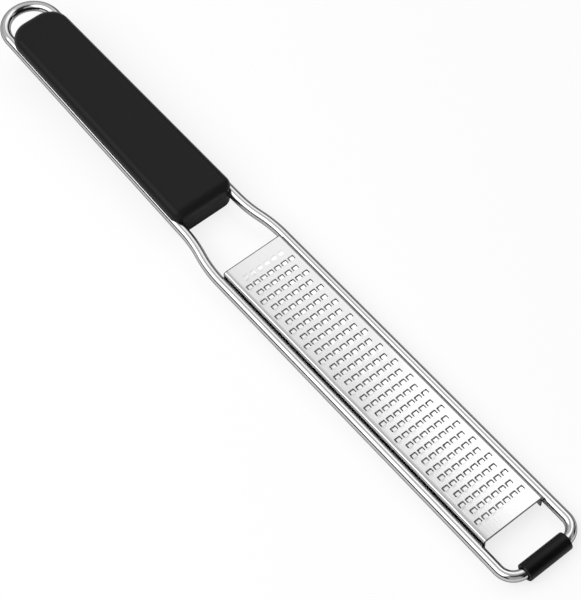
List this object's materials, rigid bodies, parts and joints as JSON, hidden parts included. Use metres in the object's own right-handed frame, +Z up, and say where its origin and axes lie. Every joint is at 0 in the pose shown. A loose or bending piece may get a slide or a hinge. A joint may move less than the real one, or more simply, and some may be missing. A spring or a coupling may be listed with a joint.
{
  "type": "cheese grater",
  "caption": "Long narrow hand grater: an etched steel blade folded into a channel and welded inside a bent wire frame, with a black two-part handle, a hanging loop and a rubber front sleeve.",
  "frame": {"origin": "middle of the grater's length and width, on the surface it lies on", "axes": "+X from the handle towards the tip, +Y across the blade, +Z up out of the toothed face"},
  "size_m": [0.3412, 0.0384, 0.02],
  "materials": {
    "wire": "polished stainless steel wire",
    "blade": "satin stainless steel sheet",
    "weld": "dull fused steel",
    "handle": "matte black moulded plastic",
    "sleeve": "matte black rubber tube"
  },
  "bodies": {
    "root": {"wire_frame": "wire", "blade": "blade", "weld_left_1": "weld", "weld_left_2": "weld", "weld_left_3": "weld", "weld_left_4": "weld", "weld_right_1": "weld", "weld_right_2": "weld", "weld_right_3": "weld", "weld_right_4": "weld", "front_sleeve": "sleeve", "handle_upper_half": "handle", "handle_lower_half": "handle"}
  },
  "joints": []
}
